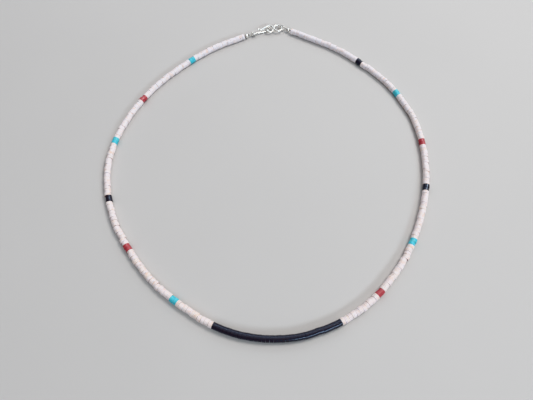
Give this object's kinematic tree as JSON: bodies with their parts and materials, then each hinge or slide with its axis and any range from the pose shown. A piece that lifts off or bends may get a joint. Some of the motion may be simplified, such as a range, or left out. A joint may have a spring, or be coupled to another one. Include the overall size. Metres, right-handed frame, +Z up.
{
  "type": "heishi bead necklace",
  "caption": "Necklace of thin drilled discs on a beading wire, off-white with small turquoise, red and black places and a black front, closed by a wire hook in a figure-eight eye.",
  "frame": {"origin": "on the surface that the necklace lies on, under the middle of its bounding box", "axes": "+Z up from the surface, +Y from the black front of the loop towards the clasp, +X from the hook's end of the string towards the eye's end"},
  "size_m": [0.1438, 0.1614, 0.0031],
  "materials": {
    "white_shell": "matte",
    "black_shell": "satin",
    "turquoise": "satin",
    "red_coral": "polished",
    "silver": "polished",
    "wire_coating": "matte"
  },
  "bodies": {
    "root": {"white_beads_left": "white_shell", "white_beads_right": "white_shell", "black_centre_beads": "black_shell", "beading_wire": "wire_coating", "end_ball_left": "silver", "end_ball_right": "silver", "loop_guard_left": "silver", "loop_guard_right": "silver", "hook": "silver", "figure_eight_eye": "silver", "turquoise_bead_1": "turquoise", "turquoise_bead_2": "turquoise", "turquoise_bead_3": "turquoise", "turquoise_bead_4": "turquoise", "turquoise_bead_5": "turquoise", "turquoise_bead_6": "turquoise", "turquoise_bead_7": "turquoise", "turquoise_bead_8": "turquoise", "turquoise_bead_9": "turquoise", "turquoise_bead_10": "turquoise", "red_bead_1": "red_coral", "red_bead_2": "red_coral", "red_bead_3": "red_coral", "red_bead_4": "red_coral", "red_bead_5": "red_coral", "red_bead_6": "red_coral", "red_bead_7": "red_coral", "red_bead_8": "red_coral", "black_bead_1": "black_shell", "black_bead_2": "black_shell", "black_bead_3": "black_shell", "black_bead_4": "black_shell", "black_bead_5": "black_shell", "black_bead_6": "black_shell"}
  },
  "joints": []
}
